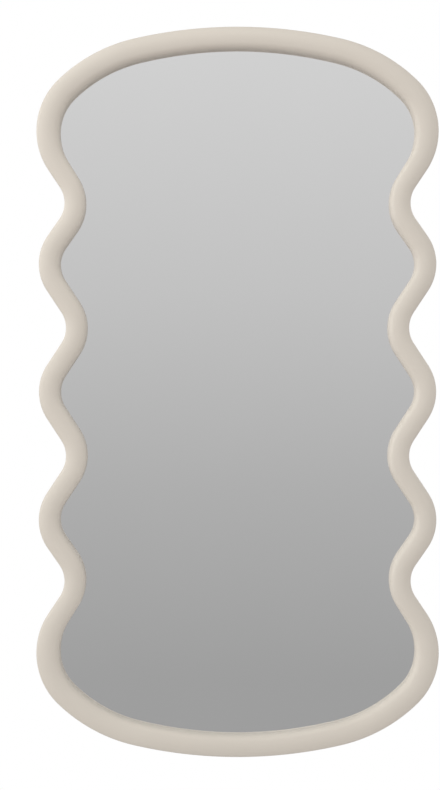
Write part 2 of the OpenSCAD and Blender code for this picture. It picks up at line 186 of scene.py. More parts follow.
class StudioSettings(bpy.types.PropertyGroup):
    """Camera and lamps"""

    camera_distance: length("Camera distance", "From the lens to the frame's widest line", 1.90)
    floor_drop: length("Floor drop", "From the mirror's foot down to the floor", 0.75)
    floor_r: length("Floor radius", "Radius at which the floor has faded out", 1.60)
    key_power: power("Key", "Power of the lamp at the upper left", 15)
    side_power: power("Side", "Power of the lamp at the left", 19)
    top_power: power("Top", "Power of the lamp above the front", 10)
    back_power: power("Back", "Power of the lamp behind", 10)


# Depths of the back, the ledge under the board, the front, the face of the glass and the pads' tops
BACK_H = -float(BOARD_BOX[1][1])
LEDGE_H = -float(BOARD_BOX[0][1])
FRONT_H = -float(FRAME_BOX[0][1])
GLASS_H = -float(PANE_BOX[0][1])
PADS_H = -float(PADS_BOX[0][1])
# Distance of the edge of the glass from the outer edge
PANE_U = float(PANE_BOX[0][0] - FRAME_BOX[0][0])
# Places of the fixings and bumpers: turns about their arcs, and a distance from the middle
SHOULDER_FIXING_A = math.radians(40)
HAUNCH_FIXING_A = math.radians(70)
CROWN_FIXING_X = 0.065
BUMPER_A = math.radians(60)
# A screw's head: its diameter and height as shares of the screw's diameter
HEAD_RATIO, HEAD_RISE = 2.0, 0.6
# The head's crown and the radius of its edge, as shares of its height
HEAD_CROWN, HEAD_EDGE = 0.12, 0.8
# Radius of the first round ring of points in the head, as a share of the head's
HEAD_RING = 0.9
# Half the width of a flank of the cross, and how far out along an arm its end starts to rise
CROSS_FLANK, CROSS_TAPER = 0.00008, 0.75
# Shares of the cross's depth that it has in its middle, where its ends start to rise and at their tips
CROSS_DEPTHS = (1, 0.8, 0)
# Reach of the grid of points round the cross, as a share of an arm's
CROSS_GRID = 1.05
# Radius of a screw's blunt point, as a share of its diameter
POINT_SHARE = 0.05
# Turn from one screw's cross to the next, and how many such turns each hanger's two screws have
SCREW_TURN = math.radians(137.5)
HANGER_TURNS = {"left": (4, 7), "right": (6, 9)}
# Radius of the strip's edges, as a share of half its thickness
STRIP_EDGE = 0.4
# Half the width of the strip's tips, as a share of its thickness
STRIP_TIP = 0.4
# The exponent that squares a pad's plan, and the share of its height whose sides are upright
PAD_SQUARING, PAD_UPRIGHT = 0.16, 0.7
# Radius of the first ring of points on a bumper's flat
FLAT_START = 0.001
# Turns of the layers of threads in the board, in radians
THREAD_TURNS = (0.2, 0.9, 1.4, 2.1, 2.8)

# Longest step between the frame's sections, and the distance up to which two points count as one
OUTLINE_STEP = 0.0035
SAME_PLACE = 1e-6
# Angle between two faces from which the edge between them is sharp
SHARP_ANGLE = math.radians(35)
# Points round small corners, and in the frame's outer edge, dome and inner edge
ROUND_POINTS = 4
OUTER_POINTS, DOME_POINTS, INNER_POINTS = 12, 16, 16
# Points in a pad's height and round its plan, and in the rounded edge of a screw's head
PAD_ROWS, PAD_COLUMNS = 13, 40
HEAD_POINTS = 6
# Points in a strap's round end, eye, slope and fall
END_POINTS, EYE_POINTS, SLOPE_POINTS, FALL_POINTS = 14, 25, 12, 10
# Points in a ring's bow, legs, corners and bar, and round its wire
BOW_POINTS, LEG_POINTS, CORNER_POINTS, BAR_POINTS, WIRE_POINTS = 49, 8, 12, 24, 24
# Points in a bumper's side and flat, and round it
SWELL_POINTS, FLAT_POINTS, BUMPER_POINTS = 16, 5, 48


def sizes():
    """The outline's, the frame section's and the hardware's sizes in the open scene."""
    scene = bpy.context.scene
    return scene.mirror_outline, scene.mirror_section, scene.mirror_hardware


# The outline


def tangent_heading(a, b):
    """Heading of the straight that touches arc a and then arc b, each [x, z, signed radius]."""
    along = b[:2] - a[:2]
    return math.atan2(along[1], along[0]) + math.asin((a[2] - b[2]) / np.hypot(*along))


def haunch_between(a, b, r):
    """The arc of radius r inside which arc a touches, and which itself touches inside arc b."""
    along = b[:2] - a[:2]
    span = np.hypot(*along)
    along = along / span
    across = np.array([-along[1], along[0]])
    from_a, from_b = r - a[2], b[2] - r
    run = (from_a**2 - from_b**2 + span**2) / (2 * span)
    centre = a[:2] + along * run - across * math.sqrt(from_a**2 - run**2)
    return np.array([centre[0], centre[1], r])


def bearing(a, b):
    """Direction from the centre of arc a to that of arc b."""
    return math.atan2(b[1] - a[1], b[0] - a[0])


def quarter_arcs():
    """Arcs from mid height to the crown by name, and the headings at which they start and the last one ends.

    Crests and troughs have their extreme at heading 90 degrees, joined by straights that touch both. The
    haunch runs tangentially out of the shoulder and into the crown.
    """
    outline, _, _ = sizes()
    shoulder_z = outline.height / 2 - outline.shoulder_drop
    outer_trough_z = shoulder_z - outline.outer_trough_drop
    crest_z = outer_trough_z - outline.crest_drop
    turns = {
        "mid_crest": (outline.mid_crest_w, 0, outline.crest_r),
        "inner_trough": (outline.inner_trough_w, crest_z / 2, -outline.trough_r),
        "crest": (outline.crest_w, crest_z, outline.crest_r),
        "outer_trough": (outline.outer_trough_w, outer_trough_z, -outline.trough_r),
        "shoulder": (outline.shoulder_w, shoulder_z, outline.shoulder_r),
    }
    arcs = {name: np.array([w / 2 - r, z, r]) for name, (w, z, r) in turns.items()}
    wave = list(arcs.values())
    crown = np.array([0, outline.height / 2 - outline.crown_r, outline.crown_r])
    haunch = haunch_between(wave[-1], crown, outline.haunch_r)
    ends = [math.pi / 2]
    ends += [tangent_heading(a, b) for a, b in zip(wave, wave[1:])]
    ends += [math.pi / 2 + bearing(haunch, wave[-1]), math.pi / 2 + bearing(crown, haunch), math.pi]
    return {**arcs, "haunch": haunch, "crown": crown}, ends


def stations(arc, headings):
    """Rows of [centre x, centre z, signed radius, heading] for one arc at an array of headings."""
    headings = np.atleast_1d(headings)
    return np.column_stack([np.tile(arc, (len(headings), 1)), headings])


def flip_x(spots):
    """Stations mirrored left to right."""
    return spots * [-1, 1, 1, -1]


def flip_z(spots):
    """Stations mirrored top to bottom."""
    return spots * [1, -1, 1, -1] + [0, 0, 0, math.pi]


def edge_points(spots, u):
    """Points [x, z] of stations at distance u inwards: centre plus (radius - u) square to the heading."""
    reach = spots[..., 2] - u
    heading = spots[..., 3]
    return np.stack([spots[..., 0] + reach * np.sin(heading), spots[..., 1] - reach * np.cos(heading)], -1)


def moves_on(path):
    """Whether each step of a path leads to another place."""
    return np.hypot(*(path[1:] - path[:-1]).T) > SAME_PLACE


def outline_stations():
    """Stations round the whole outline, anticlockwise from the front, a small step apart along the arcs."""
    arcs, ends = quarter_arcs()
    rows = []
    for arc, start, end in zip(arcs.values(), ends, ends[1:]):
        count = max(2, math.ceil(abs(arc[2] * (end - start)) / OUTLINE_STEP))
        rows.append(stations(arc, np.linspace(start, end, count + 1)))
    quarter = np.vstack(rows)
    quarter = quarter[np.r_[True, moves_on(edge_points(quarter, 0))]]
    half = np.vstack([quarter[:-1], flip_x(quarter[:0:-1])])
    return np.vstack([half, flip_z(flip_x(half))])


def fixing_stations():
    """Stations of the board's screws: crests, outer troughs, shoulders, haunches and crowns."""
    arcs, _ = quarter_arcs()
    _, band, _ = sizes()
    crown_turn = math.asin(CROWN_FIXING_X / (arcs["crown"][2] - band.rim_w - band.ledge_w / 2))
    quarter = np.vstack([
        stations(arcs["crest"], math.pi / 2),
        stations(arcs["outer_trough"], math.pi / 2),
        stations(arcs["shoulder"], math.pi / 2 + SHOULDER_FIXING_A),
        stations(arcs["haunch"], math.pi / 2 + HAUNCH_FIXING_A),
        stations(arcs["crown"], math.pi - crown_turn),
    ])
    middle = stations(arcs["mid_crest"], math.pi / 2)
    upper = np.vstack([quarter, flip_x(quarter)])
    return np.vstack([middle, flip_x(middle), upper, flip_z(upper)])


# Surfaces, each a part: its vertices and a list of face blocks


def grid_faces(rows, columns, wrap_rows=False, wrap_columns=False):
    """Four-cornered faces of a grid of points, which may close on itself either way."""
    i = np.arange(rows if wrap_rows else rows - 1)
    j = np.arange(columns if wrap_columns else columns - 1)
    i, j = np.meshgrid(i, j, indexing="ij")
    i2, j2 = (i + 1) % rows, (j + 1) % columns
    corners = [i * columns + j, i * columns + j2, i2 * columns + j2, i2 * columns + j]
    return np.stack(corners, -1).reshape(-1, 4)


def fan(border, middle):
    """Triangles from each side of a closed border to the point in its middle."""
    return np.stack([border, np.roll(border, -1), np.full(len(border), middle)], -1)


def closed_tube(points):
    """A grid of rings, open at both ends, closed there by fans to the middle of each end ring."""
    rows, columns, _ = points.shape
    flat = points.reshape(-1, 3)
    middles = np.array([points[0].mean(0), points[-1].mean(0)])
    ring = np.arange(columns)
    first = fan(ring, len(flat))[:, [1, 0, 2]]
    last = fan((rows - 1) * columns + ring, len(flat) + 1)
    return np.vstack([flat, middles]), [grid_faces(rows, columns, wrap_columns=True), first, last]


def closed_ring(points):
    """A grid of points that closes on itself both ways."""
    rows, columns, _ = points.shape
    return points.reshape(-1, 3), [grid_faces(rows, columns, True, True)]


def signed_volume(vertices, faces):
    """Volume inside the faces, below zero where they point inwards: the sum of p0 . (p1 x p2) / 6."""
    total = 0.0
    for block in faces:
        p = vertices[block]
        for k in range(1, block.shape[1] - 1):
            total += np.einsum("ij,ij->i", p[:, 0], np.cross(p[:, k], p[:, k + 1])).sum() / 6
    return total


def join(parts):
    """Several parts as one."""
    vertices, faces, start = [], [], 0
    for part_vertices, part_faces in parts:
        vertices.append(part_vertices)
        faces += [block + start for block in part_faces]
        start += len(part_vertices)
    return np.vstack(vertices), faces


def outwards(part):
    """The part with its faces turned outwards."""
    vertices, faces = part
    if signed_volume(vertices, faces) < 0:
        faces = [block[:, ::-1] for block in faces]
    return vertices, faces


def mesh_of(name, part):
    """The part as a mesh of that name."""
    vertices, faces = part
    mesh = bpy.data.meshes.new(name)
    loops = np.concatenate([block.ravel() for block in faces])
    totals = np.concatenate([np.full(len(block), block.shape[1]) for block in faces])
    mesh.vertices.add(len(vertices))
    mesh.vertices.foreach_set("co", vertices.astype(np.float32).ravel())
    mesh.loops.add(len(loops))
    mesh.loops.foreach_set("vertex_index", loops.astype(np.int32))
    mesh.polygons.add(len(totals))
    mesh.polygons.foreach_set("loop_start", np.r_[0, np.cumsum(totals)[:-1]].astype(np.int32))
    mesh.update(calc_edges=True)
    if mesh.validate():
        raise RuntimeError(f"{name}: the mesh had faults")
    return mesh


def new_object(name, data):
    """An object of that name in the scene."""
    obj = bpy.data.objects.new(name, data)
    bpy.context.scene.collection.objects.link(obj)
    return obj


def piece(name, part, material, body, nodes):
    """A finished piece: a mesh object at the origin that rides on body and stands for CAD nodes."""
    mesh = mesh_of(name, part)
    mesh.polygons.foreach_set("use_smooth", np.ones(len(mesh.polygons), bool))
    mesh.set_sharp_from_angle(angle=SHARP_ANGLE)
    mesh.materials.append(material)
    obj = new_object(name, mesh)
    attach(obj, body)
    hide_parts(*nodes)
    return obj


def arc_points(centre, r, start, end, count):
    """Points on an arc from angle start to end, in degrees."""
    a = np.radians(np.linspace(start, end, count))
    return np.column_stack([centre[0] + r * np.cos(a), centre[1] + r * np.sin(a)])


def rounded(corners, radii):
    """A polygon's outline with each corner rounded by its own radius, and 0 keeps it sharp."""
    corners = np.asarray(corners, float)
    rows = []
    for p, before, after, r in zip(corners, np.roll(corners, 1, 0), np.roll(corners, -1, 0), radii):
        if r == 0:
            rows.append(p[None])
            continue
        a = (before - p) / np.hypot(*(before - p))
        b = (after - p) / np.hypot(*(after - p))
        half = math.acos(np.clip(a @ b, -1, 1)) / 2
        centre = p + (a + b) / np.hypot(*(a + b)) * r / math.sin(half)
        start = p + a * r / math.tan(half) - centre
        end = p + b * r / math.tan(half) - centre
        first = math.atan2(start[1], start[0])
        turn = (math.atan2(end[1], end[0]) - first + math.pi) % (2 * math.pi) - math.pi
        angles = first + turn * np.linspace(0, 1, ROUND_POINTS)
        rows.append(centre + r * np.column_stack([np.cos(angles), np.sin(angles)]))
    return np.vstack(rows)


def revolved(profile, sides):
    """A closed solid of revolution from [radius, height] points, with its poles closed by fans."""
    a = np.linspace(0, 2 * math.pi, sides, endpoint=False)
    r, h = profile[:, 0, None], profile[:, 1, None]
    points = np.stack([r * np.cos(a), r * np.sin(a), h + 0 * a], -1)
    return closed_tube(points)


def turned(part, k):
    """The part turned about its own z by k times the golden angle, so that no two screws stand alike."""
    vertices, faces = part
    c, s = math.cos(k * SCREW_TURN), math.sin(k * SCREW_TURN)
    x, y, z = vertices.T
    return np.column_stack([x * c - y * s, x * s + y * c, z]), faces


def stand_at(part, spot, u, h):
    """The part stood at a station: its z points to the front, and its x runs along the outline."""
    vertices, faces = part
    x, z = edge_points(spot, u)
    c, s = math.cos(spot[3]), math.sin(spot[3])
    stood = np.column_stack([
        x + vertices[:, 0] * c - vertices[:, 1] * s,
        -h - vertices[:, 2],
        z + vertices[:, 0] * s + vertices[:, 1] * c,
    ])
    return outwards((stood, faces))


# Materials

# Sockets of a node that mixes two colours: its factor, the colours and the result
MIX_FACTOR, MIX_DARK, MIX_LIGHT, MIX_RESULT = 0, 6, 7, 2


class Nodes:
    """Short calls for building a node tree."""

    def __init__(self, tree):
        self.tree = tree

    def feed(self, socket, value):
        """Joins an output to a socket, or sets the socket to a constant."""
        if isinstance(value, bpy.types.NodeSocket):
            self.tree.links.new(value, socket)
        else:
            socket.default_value = value

    def new(self, kind, inputs=None, **settings):
        """A node with its own settings and with what feeds its inputs, as {name or number: value}."""
        node = self.tree.nodes.new(kind)
        for key, value in settings.items():
            setattr(node, key, value)
        for key, value in (inputs or {}).items():
            self.feed(node.inputs[key], value)
        return node

    def maths(self, operation, first, second):
        """The result of an operation on two numbers."""
        return self.new("ShaderNodeMath", {0: first, 1: second}, operation=operation).outputs["Value"]

    def spread(self, value, low, high, start=0.3, end=0.7, **settings):
        """The value between start and end spread from low to high."""
        inputs = {"Value": value, "From Min": start, "From Max": end, "To Min": low, "To Max": high}
        return self.new("ShaderNodeMapRange", inputs, **settings).outputs["Result"]

    def blend(self, factor, dark, light):
        """A colour between dark and light, each an output or a colour."""
        inputs = {MIX_FACTOR: factor}
        for key, tint in ((MIX_DARK, dark), (MIX_LIGHT, light)):
            inputs[key] = tint if isinstance(tint, bpy.types.NodeSocket) else (*tint, 1)
        return self.new("ShaderNodeMix", inputs, data_type="RGBA").outputs[MIX_RESULT]


class Finish(Nodes):
    """Short calls for building one material's nodes."""

    def __init__(self, name):
        self.material = bpy.data.materials.new(name)
        self.material.use_nodes = True
        super().__init__(self.material.node_tree)
        self.shader = self.tree.nodes["Principled BSDF"]
        self.place = self.new("ShaderNodeTexCoord").outputs["Object"]

    def stretched(self, scale):
        """Object coordinates times a scale along each axis."""
        return self.new("ShaderNodeMapping", {"Vector": self.place, "Scale": scale}).outputs["Vector"]

    def drawn_out(self, turn, times):
        """Object coordinates in which a pattern is longer by that many times, along Z turned about Y."""
        inputs = {"Vector": self.place, "Rotation": (0, turn, 0), "Scale": (1, 1, times)}
        return self.new("ShaderNodeMapping", inputs, vector_type="TEXTURE").outputs["Vector"]

    def noise(self, scale, detail, roughness=0.5, vector=None):
        """Noise from 0 to 1 with that many features to the metre."""
        inputs = {"Vector": vector or self.place, "Scale": scale, "Detail": detail, "Roughness": roughness}
        return self.new("ShaderNodeTexNoise", inputs).outputs["Fac"]

    def cells(self, scale):
        """Cells of uneven shape, about that many to the metre."""
        return self.new("ShaderNodeTexVoronoi", {"Vector": self.place, "Scale": scale}, feature="F1")

    def bump(self, heights, distance, strength):
        """Raises the surface by the heights, up to distance in metres, after any bump before it."""
        inputs = {"Height": heights, "Distance": distance, "Strength": strength}
        normal = self.shader.inputs["Normal"]
        if normal.links:
            inputs["Normal"] = normal.links[0].from_socket
        self.feed(normal, self.new("ShaderNodeBump", inputs).outputs["Normal"])

    def set(self, **values):
        """Constants on the shader's own sockets."""
        for key, value in values.items():
            self.shader.inputs[key.replace("_", " ")].default_value = value

    def paint(self, colour_socket):
        """Joins the colour."""
        self.feed(self.shader.inputs["Base Color"], colour_socket)

    def roughen(self, socket):
        """Joins the roughness."""
        self.feed(self.shader.inputs["Roughness"], socket)


def shade(tint, factor):
    """A colour made darker or lighter."""
    return tuple(min(1.0, level * factor) for level in tint)


def cream_lacquer(tint):
    """Sprayed satin lacquer: cloudy by a hair, with fine orange peel and dust-fine grain."""
    look = Finish("lacquer_finish")
    clouds = look.spread(look.noise(scale=5, detail=3), 0, 1)
    look.paint(look.blend(clouds, shade(tint, 0.975), shade(tint, 1.02)))
    look.roughen(look.spread(look.noise(scale=160, detail=3), 0.44, 0.54))
    look.bump(look.noise(scale=420, detail=2), distance=0.00004, strength=0.35)
    look.bump(look.noise(scale=2600, detail=1), distance=0.00001, strength=0.25)
    look.set(Specular_IOR_Level=0.45)
    return look.material


def silvered_glass(tint):
    """Silver seen through clear glass, with the faintest haze of wiping."""
    look = Finish("silver_finish")
    wipes = look.noise(scale=9, detail=3, vector=look.stretched((1, 1, 0.35)))
    look.paint(look.blend(look.spread(wipes, 0, 1), shade(tint, 0.996), shade(tint, 1.003)))
    look.roughen(look.spread(wipes, 0.010, 0.022))
    look.set(Metallic=1.0)
    return look.material


def safety_film(tint):
    """Grey film glued to the glass, matt, with shallow ripples."""
    look = Finish("film_finish")
    look.paint(look.blend(look.noise(scale=40, detail=2), shade(tint, 0.93), shade(tint, 1.05)))
    look.roughen(look.spread(look.noise(scale=90, detail=2), 0.5, 0.62))
    look.bump(look.noise(scale=22, detail=2), distance=0.0002, strength=0.3)
    return look.material


def hardboard(tint):
    """Pressed wood fibres: short threads lying every way on a warm brown, and a slightly waxy face."""
    look = Finish("board_finish")
    matted = look.noise(scale=1500, detail=3, roughness=0.7)
    fleck = bpy.context.scene.mirror_finishes.board_fleck
    clouds = look.spread(look.noise(scale=9, detail=3), 0, 1)
    tone = look.blend(clouds, shade(tint, 0.965), shade(tint, 1.035))
    for turn in THREAD_TURNS:
        way = look.drawn_out(turn, times=3.5)
        threads = look.noise(scale=650 + 40 * turn, detail=4, roughness=0.7, vector=way)
        tone = look.blend(look.spread(threads, 0, 0.30, start=0.52, end=0.74), tone, fleck)
        look.bump(threads, distance=0.00002, strength=0.6)
    look.paint(look.blend(look.spread(matted, 0, 0.35, start=0.48, end=0.78), tone, shade(tint, 1.7)))
    look.roughen(look.spread(matted, 0.55, 0.72))
    look.bump(matted, distance=0.00004, strength=0.5)
    return look.material


def foam(tint):
    """Closed-cell foam with small round cells."""
    look = Finish("foam_finish")
    cells = look.cells(1400).outputs["Distance"]
    look.paint(look.blend(look.spread(cells, 0, 1, start=0), shade(tint, 1.0), shade(tint, 0.86)))
    look.roughen(look.spread(cells, 0.85, 0.95, start=0))
    look.bump(cells, distance=0.0002, strength=0.8)
    return look.material


def moulded_rubber(tint):
    """Moulded rubber, dark, with a matt, slightly dusty skin."""
    look = Finish("rubber_finish")
    dust = look.noise(scale=300, detail=4, roughness=0.6)
    look.paint(look.blend(look.spread(dust, 0, 1), tint, shade(tint, 2.2)))
    look.roughen(look.spread(dust, 0.62, 0.82))
    look.bump(look.noise(scale=1800, detail=3), distance=0.00003, strength=0.5)
    return look.material


def zinc_plate(tint):
    """Dull zinc on steel: faint cool and warm patches and fine rolling lines."""
    look = Finish("zinc_finish")
    patches = look.new("ShaderNodeSeparateColor", {"Color": look.cells(420).outputs["Color"]})
    cool = [level * share for level, share in zip(tint, (0.95, 0.98, 1.03))]
    warm = [level * share for level, share in zip(tint, (1.06, 1.03, 0.96))]
    look.paint(look.blend(patches.outputs["Red"], cool, warm))
    lines = look.noise(scale=900, detail=3, roughness=0.6, vector=look.stretched((1, 1, 0.12)))
    look.roughen(look.spread(lines, 0.30, 0.46))
    look.bump(lines, distance=0.00001, strength=0.3)
    look.set(Metallic=1.0)
    return look.material


FINISHES = {
    "lacquer": cream_lacquer,
    "silver": silvered_glass,
    "film": safety_film,
    "board": hardboard,
    "foam": foam,
    "rubber": moulded_rubber,
    "zinc": zinc_plate,
}


def finish(name):
    """The finish in the colour of that name, made on its first use."""
    made = bpy.data.materials.get(f"{name}_finish")
    return made or FINISHES[name](getattr(bpy.context.scene.mirror_finishes, name))


def dress(node, name):
    """Gives a CAD node's object the finish of that name."""
    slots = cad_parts[node].material_slots
    if not slots:
        raise RuntimeError(f"{node} has no material slot")
    for slot in slots:
        slot.material = finish(name)


# Pieces


def frame_front():
    """Front of the frame as [u, h] points, at its width along the wave.

    The dome is an arc, and the outer and inner edges are arcs of smaller radius that touch it from inside.
    """
    _, band, _ = sizes()
    dome = np.array([band.dome_u, FRONT_H - band.dome_r])
    edges = []
    for r, u in ((band.outer_round, band.outer_round), (band.inner_round, band.band_w - band.inner_round)):
        edges.append(np.array([u, dome[1] + math.sqrt((band.dome_r - r) ** 2 - (band.dome_u - u) ** 2)]))
    ends = [math.degrees(math.atan2(*(edge - dome)[::-1])) for edge in edges]
    return np.vstack([
        arc_points(edges[0], band.outer_round, 180, ends[0], OUTER_POINTS),
        arc_points(dome, band.dome_r, ends[0], ends[1], DOME_POINTS)[1:-1],
        arc_points(edges[1], band.inner_round, ends[1], 0, INNER_POINTS),
    ])


def frame_section():
    """Section of the frame as [u, share, h] points, each at u plus that share of the frame's width there.

    The front and the lip over the glass widen with the frame. The back and its two rebates keep their sizes.
    """
    _, band, _ = sizes()
    front = frame_front()
    rebate_u = band.rim_w + band.ledge_w
    lip = [(band.band_w, front[-1, 1]), (band.band_w, GLASS_H), (rebate_u, GLASS_H)]
    lip = rounded(lip, [0, band.lip_round, 0])
    shares = np.vstack([front, lip[1:-1]]) / [band.band_w, 1]
    back = [
        (rebate_u, GLASS_H),
        (rebate_u, LEDGE_H),
        (band.rim_w, LEDGE_H),
        (band.rim_w, BACK_H),
        (0, BACK_H),
        (0, FRONT_H),
    ]
    back = rounded(back, [0, 0, 0, band.lip_round, band.back_round, 0])[:-1]
    return np.vstack([np.insert(shares, 0, 0, axis=1), np.insert(back, 1, 0, axis=1)])


def gentle(t):
    """A share from 0 to 1 that starts and ends gently."""
    t = np.clip(t, 0, 1)
    return t * t * (3 - 2 * t)


def band_widths(spots):
    """Width of the frame at each station.

    It is the wave's up to the outer troughs, and changes gently from there to the shoulders' and the crown's.
    """
    outline, band, _ = sizes()
    place = np.abs(edge_points(spots, 0))
    trough_z = outline.height / 2 - outline.shoulder_drop - outline.outer_trough_drop
    up = gentle((place[:, 1] - trough_z) / outline.outer_trough_drop)
    over = gentle(1 - place[:, 0] / (outline.shoulder_w / 2))
    widened = band.shoulder_band_w - band.band_w + over * (band.crown_band_w - band.shoulder_band_w)
    return band.band_w + up * widened


class MIRROR_OT_frame(bpy.types.Operator):
    """Carry the domed section round the wavy outline"""

    bl_idname = "mirror.frame"
    bl_label = "Lacquered Frame"

    def execute(self, context):
        """One closed surface: point (i, j) is section point j at outline station i."""
        spots = outline_stations()
        section = frame_section()
        u = section[:, 0] + section[:, 1] * band_widths(spots)[:, None]
        place = edge_points(spots[:, None, :], u)
        depth = np.broadcast_to(-section[:, 2], place.shape[:2])
        part = outwards(closed_ring(np.stack([place[..., 0], depth, place[..., 1]], -1)))
        piece("lacquered_frame", part, finish("lacquer"), "mirror", ["frame"])
        return {"FINISHED"}


class MIRROR_OT_glass(bpy.types.Operator):
    """Silver the pane and finish the film behind it and the packers round it"""

    bl_idname = "mirror.glass"
    bl_label = "Silvered Glass"

    def execute(self, context):
        """These CAD nodes have their real shapes, and only get their finishes."""
        dress("mirror_pane", "silver")
        dress("safety_film", "film")
        for node in ("packer_bottom_left", "packer_bottom_right", "packer_side_left", "packer_side_right"):
            dress(node, "rubber")
        return {"FINISHED"}


def foam_pad():
    """A foam pad stood on z = 0 about its own middle.

    Its plan at angle a is [half the length times c, half the width times s], c and s being the cosine and the
    sine with their sizes raised to a small power, which squares it. Towards its base and its top that is
    inset along a quarter circle.
    """
    _, _, kit = sizes()
    lift = np.linspace(-1, 1, PAD_ROWS)[:, None]
    a = np.linspace(0, 2 * math.pi, PAD_COLUMNS, endpoint=False)[None, :]
    x, y = (np.sign(wave) * np.abs(wave) ** PAD_SQUARING for wave in (np.cos(a), np.sin(a)))
    edge = np.clip((np.abs(lift) - PAD_UPRIGHT) / (1 - PAD_UPRIGHT), 0, 1)
    inset = kit.pad_round * (1 - np.sqrt(1 - edge**2))
    points = np.stack([
        x * (kit.pad_l / 2 - inset),
        y * (kit.pad_w / 2 - inset),
        (lift + 1) / 2 * (PADS_H - LEDGE_H) + 0 * a,
    ], -1)
    return closed_tube(points)


class MIRROR_OT_backing(bpy.types.Operator):
    """Finish the backing board and lay the foam pads under it"""

    bl_idname = "mirror.backing"
    bl_label = "Backing Board"

    def execute(self, context):
        """Pads lie at the board's screws, with their long side along the edge of the glass."""
        _, _, kit = sizes()
        dress("backing_board", "board")
        inset_u = PANE_U + kit.pad_inset
        pads = []
        for spot in fixing_stations():
            u, r = inset_u, spot[2]
            if r > 0:
                u = r - math.sqrt((r - inset_u) ** 2 - (kit.pad_l / 2) ** 2)
            pads.append(stand_at(foam_pad(), spot, u + kit.pad_w / 2, LEDGE_H))
        obj = piece("foam_pads", join(pads), finish("foam"), "mirror", ["cushion_pads"])
        return {"FINISHED"}


def square_border(count):
    """Indices round the border of a square grid with count points to a side, anticlockwise."""
    side = np.arange(count - 1)
    last = count * count - 1
    return np.concatenate([side * count, (count - 1) * count + side, last - side * count, count - 1 - side])


def pan_screw(d, under_head):
    """A pan-head screw, its head's underside at z = 0 and its point up, with a tapered cross in the head.

    The middle of the head is a square grid of [x, y] points whose lines lie close at the cross's flanks and
    ends, and rings of points lead from it to the head's round edge. Their height is the pan's at that radius,
    sunk by the cross's depth where a point lies within half its width of either arm, less towards the ends.
    """
    _, _, kit = sizes()
    head_r, head_h = d * HEAD_RATIO / 2, d * HEAD_RISE
    edge_r = head_h * HEAD_EDGE
    flat_r = head_r - edge_r

    def pan(r):
        """Height of the pan's top at radius r: a shallow crown and a quarter-round edge."""
        fall = edge_r - np.sqrt(np.clip(edge_r**2 - np.clip(r - flat_r, 0, None) ** 2, 0, None))
        return np.minimum(fall + head_h * HEAD_CROWN * (r / head_r) ** 2, edge_r) - head_h

    half, reach = kit.cross_w / 2, kit.cross_l / 2
    flank, taper = (half - CROSS_FLANK, half + CROSS_FLANK), reach * CROSS_TAPER
    ahead = np.array([0, *flank, (flank[1] + taper) / 2, taper, reach, reach * CROSS_GRID])
    lines = np.r_[-ahead[:0:-1], ahead]
    x, y = (v.ravel() for v in np.meshgrid(lines, lines, indexing="ij"))
    across, along = np.minimum(abs(x), abs(y)), np.maximum(abs(x), abs(y))
    depth = np.interp(across, flank, (1, 0)) * np.interp(along, (0, taper, reach), CROSS_DEPTHS)
    patch = np.column_stack([x, y, pan(np.hypot(x, y)) + kit.cross_deep * depth])
    border = square_border(len(lines))
    square = patch[border, :2]
    round_way = square / np.hypot(*square.T)[:, None]
    first_r = head_r * HEAD_RING
    rings = [square + (round_way * first_r - square) * t for t in (1 / 3, 2 / 3, 1)]
    rings = [np.column_stack([ring, pan(np.hypot(*ring.T))]) for ring in rings]
    turn = np.linspace(math.asin((first_r - flat_r) / edge_r), math.pi / 2, HEAD_POINTS)[1:]
    below = [(flat_r + edge_r * math.sin(a), float(pan(flat_r + edge_r * math.sin(a)))) for a in turn]
    below += [(head_r, 0), (d / 2, 0), (d / 2, under_head - d), (d * POINT_SHARE, under_head)]
    rings += [np.column_stack([round_way * r, np.full(len(border), z)]) for r, z in below]
    tip = np.array([[0, 0, under_head]])
    vertices = np.vstack([patch, *rings, tip])
    order = np.r_[border, len(patch) + np.arange(len(rings) * len(border))]
    walls = order[grid_faces(len(rings) + 1, len(border), wrap_columns=True)]
    return vertices, [grid_faces(len(lines), len(lines)), walls, fan(order[-len(border):], len(vertices) - 1)]


class MIRROR_OT_board_screws(bpy.types.Operator):
    """Set the screws that hold the backing board"""

    bl_idname = "mirror.board_screws"
    bl_label = "Board Screws"

    def execute(self, context):
        """One screw at each fixing, in the middle of the ledge."""
        _, band, kit = sizes()
        screw_u = band.rim_w + band.ledge_w / 2
        screw = pan_screw(kit.board_screw_d, kit.board_screw_l)
        spots = enumerate(fixing_stations())
        screws = [stand_at(turned(screw, k), spot, screw_u, BACK_H) for k, spot in spots]
        piece("backing_screws", join(screws), finish("zinc"), "mirror", ["board_screws"])
        return {"FINISHED"}


def hanger_places():
    """Place x, z of the right ring's axis, and the drop from it to each of its strap's two screws."""
    outline, _, kit = sizes()
    x = outline.shoulder_w / 2 - kit.hanger_u
    z = outline.height / 2 - outline.shoulder_drop + kit.ring_rise
    reach = kit.ring_leg + kit.ring_in_w / 2 + kit.wire_d / 2
    first = reach + kit.wire_d / 2 + kit.head_gap + kit.hanger_screw_d * HEAD_RATIO / 2
    return x, z, (first, first + kit.screw_pitch)


def eye_offset():
    """Distance of the ring's axis from the board: the strip, the clearance and half the wire."""
    _, _, kit = sizes()
    return kit.wire_d / 2 + kit.eye_clear + kit.strip_t


